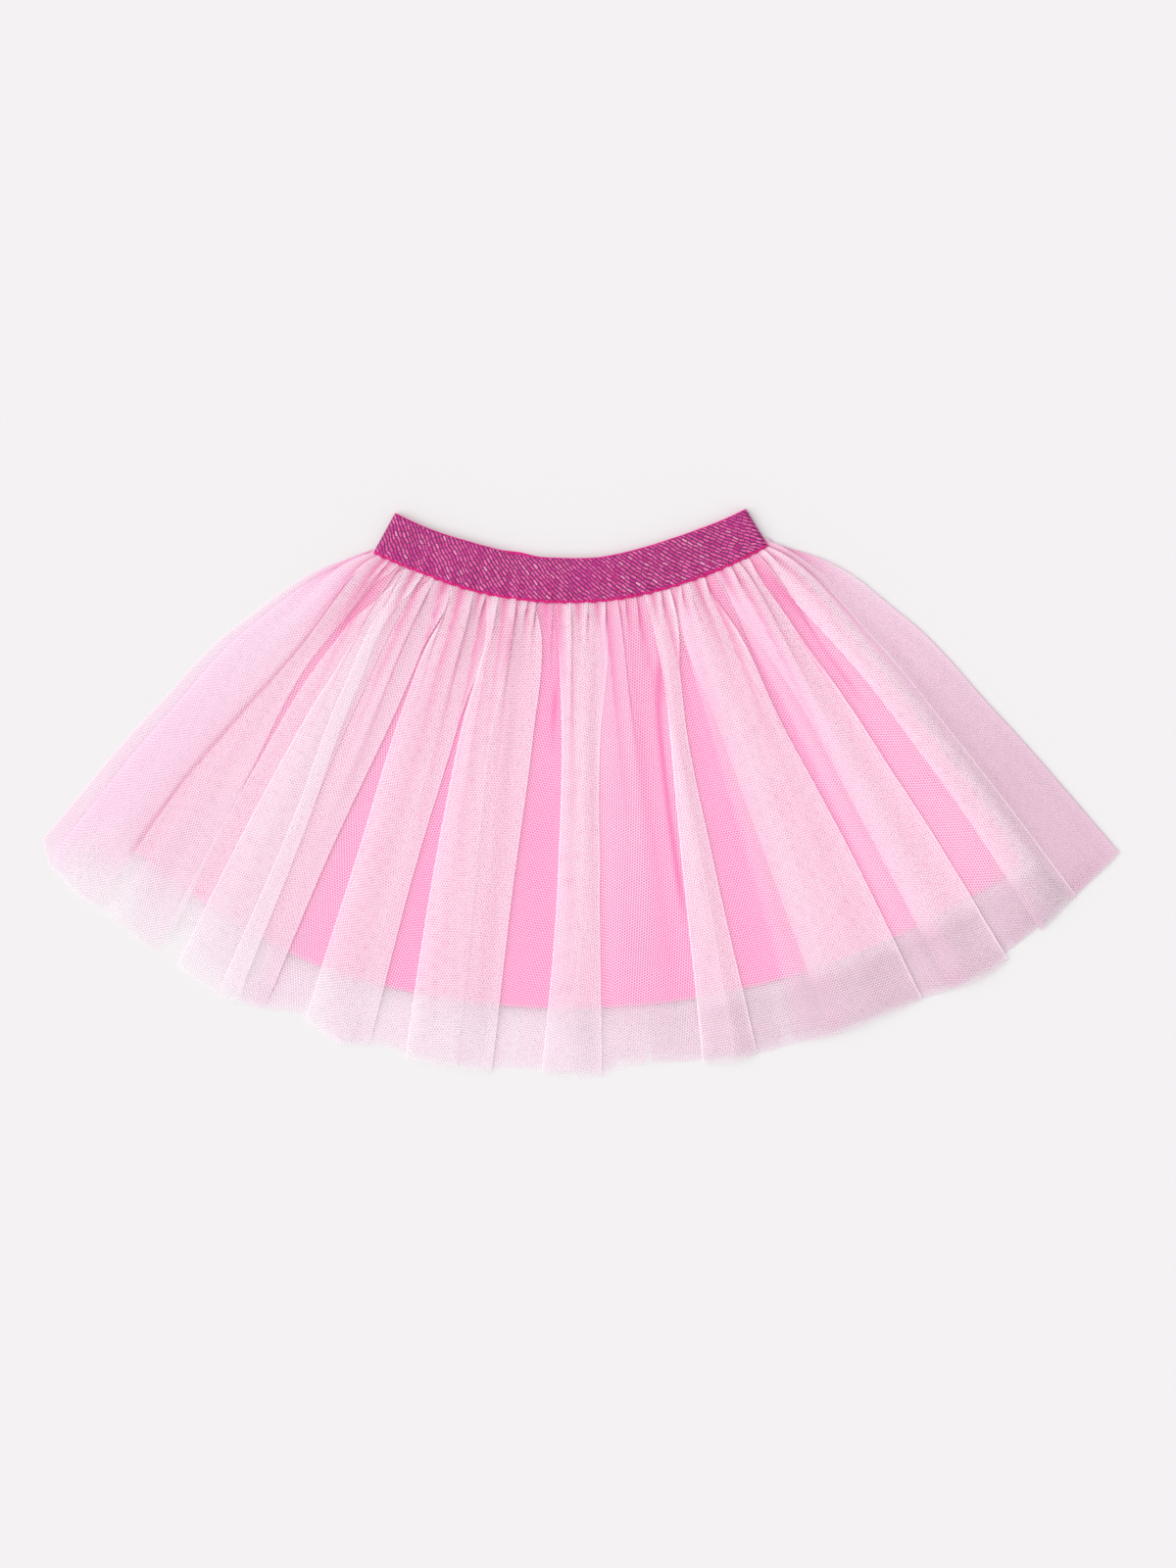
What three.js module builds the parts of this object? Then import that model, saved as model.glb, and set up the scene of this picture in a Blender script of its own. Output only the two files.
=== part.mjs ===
// Child's gathered tulle skirt, laid flat with its back on the surface.
// Millimetres, +X across the skirt, +Y towards the waistband, +Z up from the surface.
// Everything is a fan around one centre above the waist: an angle of 0 degrees points
// straight down to the hem, and angles grow towards +X.

import * as THREE from 'three';
import { mergeVertices } from 'three/addons/utils/BufferGeometryUtils.js';

// Driving dimensions
const fanCentre = { x: -10.4, y: 335.5 };
const seamGap = 0.3;
const clothWall = 1.0;

const band = {
  width: 25.0, // height of the elastic
  seamRadius: 226.1, // its lower edge, where the panels are sewn on
  leftDeg: -28.6,
  rightDeg: 31.2,
  wall: 1.4,
  backPeek: 1.6, // how far the back half stands above the front half
  peekDeg: -10.0,
  peekSpreadDeg: 6.0,
  halfSteps: 44, // wall sections along one half
  endSteps: 6, // and round one folded end
};

const lining = {
  length: 231.6,
  cornerRise: 17.0, // the hem rises into the left side corner
  cornerDeg: 6.0,
  columns: 40,
  rows: 6,
};

const net = {
  clear: 1.5, // the front net stays on the lining until this far past its hem
  drape: 14.0, // and comes down to the back net in this distance
  rise: 18.0, // distance below the waist in which the folds reach their height
  backInset: 11.0, // the back net's hem is shorter than the front's
  flatLift: 0.4, // between two folds the net barely leaves what it lies on
  clearDeg: 0.3, // a line that lies just outside the edge of the panel below
  upperRows: 10,
  hemRows: 3,
  backColumns: 48,
  backRows: 9,
};

// Undersides of the four panels that lie on each other, and the height of the whole stack
const layer = {
  tulleBack: 0,
  liningBack: clothWall + seamGap,
  liningFront: 2 * (clothWall + seamGap),
  tulleFront: 3 * (clothWall + seamGap),
};
const stackHeight = layer.tulleFront + clothWall;
const panelRadius = band.seamRadius + seamGap;

// What the front net lies on: the lining, the back net past the lining's edges, and the
// surface at its own raw edge
const ground = { lining: layer.tulleFront, net: layer.liningBack, surface: 0 };

// A side or fold line leaves the waist at one angle and swings to another below it.
// spread is the distance in which most of that swing is over.
const sides = {
  tulleFrontLeft: { waistDeg: -28.6, hemDeg: -39.5, spread: 45 },
  tulleFrontRight: { waistDeg: 31.1, hemDeg: 40.85, spread: 36.6 },
  tulleBackLeft: { waistDeg: -28.1, hemDeg: -38.2, spread: 47 },
  tulleBackRight: { waistDeg: 30.4, hemDeg: 39.4, spread: 38 },
  liningLeft: { waistDeg: -27.4, hemDeg: -34.3, spread: 80 },
  liningRight: { waistDeg: 29.9, hemDeg: 35.3, spread: 40 },
};

// The large folds of the front net, from left to right: the angles of their two sides at
// the waist and at the hem, and how far they stand up. on says what they lie on.
const folds = [
  { waist: [-28.35, -27.9], hem: [-38.5, -35.6], spread: 47, lift: 2.4, on: 'net' },
  { waist: [-27.1, -24.9], hem: [-33.2, -29.6], spread: 60, lift: 2.4, on: 'lining' },
  { waist: [-23.6, -17.6], hem: [-27.0, -20.3], spread: 45, lift: 4.4, on: 'lining' },
  { waist: [-15.0, -10.4], hem: [-17.4, -12.7], spread: 45, lift: 4.8, on: 'lining' },
  { waist: [-8.0, -3.8], hem: [-11.0, -4.7], spread: 35, lift: 5.2, on: 'lining' },
  { waist: [-0.4, 5.0], hem: [-1.4, 2.8], spread: 60, lift: 4.6, on: 'lining' },
  { waist: [11.4, 13.1], hem: [10.1, 13.0], spread: 60, lift: 3.6, on: 'lining' },
  { waist: [15.0, 19.6], hem: [14.4, 23.8], spread: 45, lift: 4.4, on: 'lining' },
  { waist: [20.9, 25.2], hem: [25.5, 29.4], spread: 45, lift: 3.8, on: 'lining' },
  { waist: [27.0, 29.7], hem: [33.4, 35.2], spread: 40, lift: 3.2, on: 'lining' },
];

// A fold's section: its lift across its width
const foldSection = [
  { share: 0, lift: 0.2 },
  { share: 0.15, lift: 0.9 },
  { share: 0.5, lift: 1 },
  { share: 0.85, lift: 0.9 },
  { share: 1, lift: 0.2 },
];

// The net's raw hem, measured from the fan's centre
const hemLine = [
  { deg: -39.5, radius: 468.0 },
  { deg: -38.0, radius: 477.5 },
  { deg: -35.3, radius: 482.5 },
  { deg: -25.0, radius: 488.8 },
  { deg: -22.0, radius: 493.0 },
  { deg: -18.0, radius: 486.0 },
  { deg: -15.0, radius: 497.5 },
  { deg: -5.0, radius: 498.4 },
  { deg: 2.9, radius: 499.3 },
  { deg: 5.6, radius: 495.2 },
  { deg: 11.2, radius: 499.9 },
  { deg: 20.0, radius: 497.8 },
  { deg: 29.4, radius: 501.0 },
  { deg: 35.5, radius: 493.5 },
  { deg: 40.85, radius: 487.0 },
];

const finish = {
  net: new THREE.MeshStandardMaterial({ color: 0xf8cfe0, roughness: 0.75, metalness: 0 }),
  satin: new THREE.MeshStandardMaterial({ color: 0xfb86bb, roughness: 0.5, metalness: 0 }),
  glitter: new THREE.MeshStandardMaterial({ color: 0xb8287d, roughness: 0.4, metalness: 0.3 }),
};

// A point of the fan, in the skirt's own frame
function fanPoint(radius, deg, height) {
  const angle = THREE.MathUtils.degToRad(deg);
  const x = fanCentre.x + radius * Math.sin(angle);
  const y = fanCentre.y - radius * Math.cos(angle);
  return new THREE.Vector3(x, y, height);
}

// The angle of a side or fold line at a distance below the waist seam
function lineDeg(line, distance) {
  return line.hemDeg + (line.waistDeg - line.hemDeg) * Math.exp(-distance / line.spread);
}

// The radius of the net's hem at an angle, between the two nearest rows of its table
function netHemRadius(deg) {
  const next = hemLine.findIndex((row) => row.deg > deg);
  if (next === 0) return hemLine[0].radius;
  if (next < 0) return hemLine.at(-1).radius;
  const before = hemLine[next - 1];
  const after = hemLine[next];
  const share = THREE.MathUtils.inverseLerp(before.deg, after.deg, deg);
  return THREE.MathUtils.lerp(before.radius, after.radius, share);
}

function liningHemRadius(deg) {
  const nearness = (deg - sides.liningLeft.hemDeg) / lining.cornerDeg;
  return panelRadius + lining.length - lining.cornerRise * Math.exp(-nearness * nearness);
}

function closedMesh(name, geometry, material) {
  geometry.deleteAttribute('normal');
  geometry.deleteAttribute('uv');
  const shared = mergeVertices(geometry, 1e-4);
  shared.computeVertexNormals();
  const mesh = new THREE.Mesh(shared, material);
  mesh.name = name;
  return mesh;
}

// A closed wall of cloth: a box whose two faces are grids of columns and rows, with every
// grid corner laid where place(column, row, face) says. face is 0 underneath and 1 on top.
function clothPanel(name, columns, rows, place, material) {
  const box = new THREE.BoxGeometry(1, 1, 1, columns, rows, 1);
  const corner = box.getAttribute('position');
  for (let i = 0; i < corner.count; i += 1) {
    const column = Math.round((corner.getX(i) + 0.5) * columns);
    const row = Math.round((0.5 - corner.getY(i)) * rows);
    const face = corner.getZ(i) > 0 ? 1 : 0;
    const point = place(column, row, face);
    corner.setXYZ(i, point.x, point.y, point.z);
  }
  return closedMesh(name, box, material);
}

// A flat panel whose columns are spread evenly between two side lines
function flatPanel(name, shape, material) {
  const place = (column, row, face) => {
    const depth = row / shape.rows;
    const reach = depth * (shape.hemRadius(0) - panelRadius);
    const left = lineDeg(shape.left, reach);
    const right = lineDeg(shape.right, reach);
    const deg = THREE.MathUtils.lerp(left, right, column / shape.columns);
    const radius = THREE.MathUtils.lerp(panelRadius, shape.hemRadius(deg), depth);
    return fanPoint(radius, deg, shape.underside + face * clothWall);
  };
  return clothPanel(name, shape.columns, shape.rows, place, material);
}

function liningPanel(name, underside) {
  const { columns, rows } = lining;
  const { liningLeft: left, liningRight: right } = sides;
  const shape = { left, right, columns, rows, underside, hemRadius: liningHemRadius };
  return flatPanel(name, shape, finish.satin);
}

function backNet() {
  const shape = {
    left: sides.tulleBackLeft,
    right: sides.tulleBackRight,
    columns: net.backColumns,
    rows: net.backRows,
    underside: layer.tulleBack,
    hemRadius: (deg) => netHemRadius(deg) - net.backInset,
  };
  return flatPanel('tulle_back', shape, finish.net);
}

// The lines that the front net's columns follow, from left to right
function frontNetLines() {
  const lines = [{ ...sides.tulleFrontLeft, lift: 0, on: 'surface' }];
  const addOutside = (side, shift, on) => {
    const { waistDeg, hemDeg, spread } = side;
    lines.push({ waistDeg: waistDeg + shift, hemDeg: hemDeg + shift, spread, lift: net.flatLift, on });
  };
  folds.forEach((fold, number) => {
    const { waist, hem, spread, on } = fold;
    const before = folds[number - 1];
    if (before && before.on !== on) addOutside(sides.liningLeft, -net.clearDeg, on);
    if (before && before.on === on) {
      const waistDeg = (before.waist[1] + waist[0]) / 2;
      const hemDeg = (before.hem[1] + hem[0]) / 2;
      lines.push({ waistDeg, hemDeg, spread, lift: net.flatLift, on });
    }
    for (const { share, lift } of foldSection) {
      const waistDeg = THREE.MathUtils.lerp(waist[0], waist[1], share);
      const hemDeg = THREE.MathUtils.lerp(hem[0], hem[1], share);
      lines.push({ waistDeg, hemDeg, spread, lift: lift * fold.lift, on });
    }
  });
  addOutside(sides.liningRight, net.clearDeg, 'lining');
  addOutside(sides.tulleBackRight, net.clearDeg, 'net');
  lines.push({ ...sides.tulleFrontRight, lift: 0, on: 'surface' });
  return lines;
}

// The front net lies on the lining with its folds standing up, comes down to the back net
// past the lining's hem and sides, and meets the surface at its raw edge
function frontNet() {
  const lines = frontNetLines();
  const rows = net.upperRows + 1 + net.hemRows;
  const place = (column, row, face) => {
    const line = lines[column];
    const past = row - net.upperRows;
    const reach = (lining.length + net.clear) * Math.min(row / net.upperRows, 1);
    const deg = lineDeg(line, reach);
    const clearRadius = liningHemRadius(deg) + net.clear;
    let radius = THREE.MathUtils.lerp(panelRadius, clearRadius, row / net.upperRows);
    let level = ground.lining;
    if (past > 0) {
      const hemShare = (past - 1) / net.hemRows;
      radius = THREE.MathUtils.lerp(clearRadius + net.drape, netHemRadius(deg), hemShare);
      level = row === rows ? ground.surface : ground.net;
    }
    const lift = line.lift * (1 - Math.exp(-(radius - panelRadius) / net.rise));
    return fanPoint(radius, deg, Math.min(level, ground[line.on]) + lift + face * clothWall);
  };
  return clothPanel('tulle_front', lines.length - 1, rows, place, finish.net);
}

// The middle of the band's wall on its way round the flattened ring: along the front half
// to the right, round the right end, back along the back half and round the left end.
// Gives the place along the band, the height, and the direction that faces outwards.
function bandWallAt(step) {
  const { halfSteps, endSteps, seamRadius, width, wall } = band;
  const radius = seamRadius - width / 2;
  const endRadius = (stackHeight - wall) / 2;
  const endDeg = THREE.MathUtils.radToDeg(stackHeight / 2 / radius);
  const left = band.leftDeg + endDeg;
  const right = band.rightDeg - endDeg;
  const at = (deg, turn) => {
    const out = { across: Math.cos(turn), up: Math.sin(turn) };
    const shift = THREE.MathUtils.radToDeg((endRadius * out.across) / radius);
    return { radius, out, deg: deg + shift, height: stackHeight / 2 + endRadius * out.up };
  };
  const quarter = Math.PI / 2;
  const onBack = step - halfSteps - endSteps;
  if (step < halfSteps) return at(THREE.MathUtils.lerp(left, right, step / halfSteps), quarter);
  if (onBack < 0) return at(right, quarter - (Math.PI * (step - halfSteps)) / endSteps);
  if (onBack < halfSteps) {
    return at(THREE.MathUtils.lerp(right, left, onBack / halfSteps), -quarter);
  }
  return at(left, -quarter - (Math.PI * (onBack - halfSteps)) / endSteps);
}

// The elastic: one flattened ring, open between its front and back halves. A torus with a
// four-sided section gives the ring, and its four corner lines become the wall's edges.
function waistband() {
  const steps = 2 * (band.halfSteps + band.endSteps);
  const ring = new THREE.TorusGeometry(1, 0.3, 4, steps);
  const corner = ring.getAttribute('position');
  const way = ring.getAttribute('uv');
  const edges = [
    { side: 1, lower: true },
    { side: 1, lower: false },
    { side: -1, lower: false },
    { side: -1, lower: true },
  ];
  for (let i = 0; i < corner.count; i += 1) {
    const wall = bandWallAt(Math.round(way.getX(i) * steps) % steps);
    const { side, lower } = edges[Math.round(way.getY(i) * 4) % 4];
    const shift = (side * band.wall) / 2;
    const acrossDeg = THREE.MathUtils.radToDeg((shift * wall.out.across) / wall.radius);
    const deg = wall.deg + acrossDeg;
    const nearness = (deg - band.peekDeg) / band.peekSpreadDeg;
    const peek = wall.out.up < 0 ? band.backPeek * Math.exp(-nearness * nearness) : 0;
    const radius = lower ? band.seamRadius : band.seamRadius - band.width - peek;
    const point = fanPoint(radius, deg, wall.height + shift * wall.out.up);
    corner.setXYZ(i, point.x, point.y, point.z);
  }
  return closedMesh('waistband', ring, finish.glitter);
}

const skirt = new THREE.Group();
skirt.add(
  waistband(),
  frontNet(),
  liningPanel('lining_front', layer.liningFront),
  liningPanel('lining_back', layer.liningBack),
  backNet(),
);

export default skirt;
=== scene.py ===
"""Child's tulle skirt, laid flat with its back on a pale surface and seen from straight above.

Everything on the skirt is a fan around one centre above the waist: an angle of 0 degrees points
straight down to the hem and angles grow towards +X. Sizes are in millimetres until a mesh gets
its places, in metres.
"""
import math

import bmesh
import bpy
import numpy as np
from mathutils import Matrix, Vector


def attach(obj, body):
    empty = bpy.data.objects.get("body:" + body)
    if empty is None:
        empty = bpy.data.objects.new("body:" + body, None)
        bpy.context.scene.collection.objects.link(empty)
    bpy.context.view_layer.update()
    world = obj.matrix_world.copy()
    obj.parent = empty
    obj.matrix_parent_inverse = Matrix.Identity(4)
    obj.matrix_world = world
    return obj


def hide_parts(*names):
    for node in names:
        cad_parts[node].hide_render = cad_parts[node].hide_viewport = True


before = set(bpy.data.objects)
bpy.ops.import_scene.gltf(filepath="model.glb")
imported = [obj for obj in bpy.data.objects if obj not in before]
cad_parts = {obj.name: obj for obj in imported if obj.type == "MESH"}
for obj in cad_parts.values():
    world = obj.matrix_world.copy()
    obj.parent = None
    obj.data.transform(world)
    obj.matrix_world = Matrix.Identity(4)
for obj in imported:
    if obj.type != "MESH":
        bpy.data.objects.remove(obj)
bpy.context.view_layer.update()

MM = 0.001

# The fan that the skirt is laid out on
FAN_X, FAN_Y = -10.4, 335.5
BAND_TOP = 201.1
BAND_SEAM = 226.1
BAND_WIDTH = 25.0
SKIRT_LENGTH = 272.0
LINING_END = 459.0
BAND_LEFT, BAND_RIGHT = -28.6, 31.2

# Walls of the cloth that is a shell, the lining's seam allowance, and how far above its hem the
# lining is stitched
LINING_WALL = 0.45
BAND_WALL = 1.2
SEAM_ALLOWANCE = 7.5
HEM_STITCHES = 9.5

# Brightness of the two lights
KEY_LIGHT = 2.52
SKY_LIGHT = 0.755

# Sizes of the weave in millimetres, and how open the net is
GLITTER_ROW = 1.9
GLITTER_DASH = 3.6
NET_CELL = 1.6
NET_THREAD = 0.19
NET_VEIL = 0.2
THREAD_GLOW = 0.5

# Colours
NET_PALE = (0.99, 0.938, 0.968, 1)
# Deeper pink of crowded threads, partly painted shade
NET_DEEP = (0.98, 0.66, 0.84, 1)
# Painted shade: the net's deep pink in grooves and creases
NET_GROOVE_SHADE = (0.88, 0.29, 0.56, 1)
NET_SHADED = (0.78, 0.64, 0.71, 1)
LINING_PINK = (0.73, 0.115, 0.382, 1)
LINING_PALE = (0.77, 0.141, 0.412, 1)
LINING_DARK = (0.36, 0.03, 0.14, 1)
GLITTER_DARK = (0.12, 0.001, 0.055, 1)
GLITTER_MID = (0.48, 0.006, 0.215, 1)
GLITTER_LIGHT = (0.68, 0.105, 0.340, 1)
# Painted glint of a few glitter threads
GLITTER_SPARK = (0.85, 0.40, 0.58, 1)
HOT_PINK = (0.80, 0.010, 0.25, 1)
HOT_PINK_DEEP = (0.62, 0.004, 0.17, 1)

# Heights of the layers, as in the frame
BACK_LINING_Z = 1.35
FRONT_LINING_Z = 2.65
NET_GROUND_Z = 4.2
BAND_FRONT_Z = 4.3
BAND_BACK_Z = 0.75


def fan(radius, degrees, height):
    """Places on the fan, as rows of x, y and z in metres."""
    angle = np.radians(degrees)
    x = FAN_X + radius * np.sin(angle)
    y = FAN_Y - radius * np.cos(angle)
    return np.stack(np.broadcast_arrays(x, y, height), axis=-1) * MM


def smooth(value, low=0.0, high=1.0):
    """0 at low, 1 at high and beyond, and an even curve between."""
    share = np.clip((value - low) / (high - low), 0.0, 1.0)
    return share * share * (3.0 - 2.0 * share)


def curve_through(stations, values, at):
    """A smooth curve through the values at the stations, read at the places in at."""
    stations = np.asarray(stations, float)
    values = np.asarray(values, float)
    slopes = np.gradient(values, stations)
    index = np.clip(np.searchsorted(stations, at, side="right") - 1, 0, len(stations) - 2)
    step = stations[index + 1] - stations[index]
    t = (at - stations[index]) / step
    start = values[index] * (1 + 2 * t) + slopes[index] * step * t
    end = values[index + 1] * (3 - 2 * t) - slopes[index + 1] * step * (1 - t)
    return start * (1 - t) ** 2 + end * t * t


# Camera, floor and light

def studio():
    """The camera straight above, a plain pale floor and soft light from the upper left."""
    data = bpy.data.cameras.new("camera")
    data.sensor_fit = "AUTO"
    data.sensor_width = 36.0
    data.lens = 88.0
    camera = bpy.data.objects.new("camera", data)
    camera.location = (0.0042, 0.0053, 2.2)
    bpy.context.scene.collection.objects.link(camera)
    bpy.context.scene.camera = camera

    mesh = bpy.data.meshes.new("floor")
    shape = bmesh.new()
    bmesh.ops.create_grid(shape, x_segments=1, y_segments=1, size=3.0)
    shape.to_mesh(mesh)
    shape.free()
    floor = bpy.data.objects.new("floor", mesh)
    bpy.context.scene.collection.objects.link(floor)
    material = bpy.data.materials.new("floor")
    material.use_nodes = True
    shader = material.node_tree.nodes["Principled BSDF"]
    shader.inputs["Base Color"].default_value = (0.65, 0.639, 0.644, 1)
    shader.inputs["Roughness"].default_value = 0.9
    shader.inputs["Specular IOR Level"].default_value = 0.1
    mesh.materials.append(material)

    light = bpy.data.lights.new("key", "SUN")
    light.energy = KEY_LIGHT
    light.angle = math.radians(80)
    lamp = bpy.data.objects.new("key", light)
    lamp.location = (-1.5, 1.1, 1.5)
    lamp.rotation_euler = Vector((1.35, -0.3, -1.8)).to_track_quat("-Z", "Y").to_euler()
    bpy.context.scene.collection.objects.link(lamp)

    world = bpy.data.worlds.new("studio")
    world.use_nodes = True
    world.node_tree.nodes["Background"].inputs["Color"].default_value = (1, 0.99, 0.99, 1)
    world.node_tree.nodes["Background"].inputs["Strength"].default_value = SKY_LIGHT
    bpy.context.scene.world = world
    bpy.context.scene.view_settings.view_transform = "Standard"
    bpy.context.scene.cycles.transparent_max_bounces = 32


# Cloth sheets

# The net's hem, as angle and distance from the fan's centre
NET_HEM = (
    (-39.5, 468.0), (-38.0, 477.5), (-35.3, 482.5), (-29.7, 484.9), (-25.1, 488.8), (-22.1, 493.0),
    (-18.0, 486.0), (-15.0, 497.5), (-12.0, 493.5), (-9.0, 496.7), (-5.0, 498.4), (-0.9, 497.8),
    (2.9, 499.5), (3.6, 496.1), (5.6, 495.2), (8.4, 498.4), (11.2, 500.1), (16.0, 497.8),
    (22.0, 497.8), (25.2, 498.9), (29.4, 501.2), (33.4, 496.7), (35.5, 493.5), (40.85, 487.0),
)

# The lining's turned hem, which rises towards its left side seam
LINING_HEM = (
    (-36.0, 440.5), (-33.4, 442.7), (-29.5, 445.9), (-26.4, 449.2), (-23.9, 451.4), (-21.0, 454.0),
    (-17.7, 456.5), (-13.5, 457.8), (0.0, 459.0), (8.0, 459.5), (20.0, 459.6), (36.0, 459.8),
)

# How far the band's two edges stray from its even arc, as angle and distance
UPPER_STRAY = (
    (-29.0, -1.7), (-23.0, -2.0), (-16.0, -2.6), (-12.0, -2.2), (-8.7, -1.3), (-5.0, -0.7),
    (0.0, -0.4), (6.0, 0.3), (13.0, -1.0), (18.0, -1.6), (23.0, -1.2), (27.0, -0.2), (31.2, 0.8),
)
LOWER_STRAY = (
    (-28.6, -1.0), (-24.0, -1.8), (-20.3, -2.0), (-13.8, -0.9), (-7.7, -0.5), (-1.7, -0.2),
    (9.3, 0.3), (16.0, -0.2), (23.0, -0.2), (31.0, 0.3),
)

# Distances below the waist seam at which the angles of sides and folds are given
STATIONS = (0.0, 27.0, 83.0, 160.0, 272.0)

NET_LEFT = (-28.6, -33.5, -37.8, -39.2, -39.5)
NET_RIGHT = (31.1, 36.2, 39.85, 40.7, 40.85)
LINING_LEFT = (-27.4, -28.9, -31.05, -33.15, -33.9)
LINING_RIGHT = (29.9, 32.6, 34.5, 35.2, 35.3)

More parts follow.
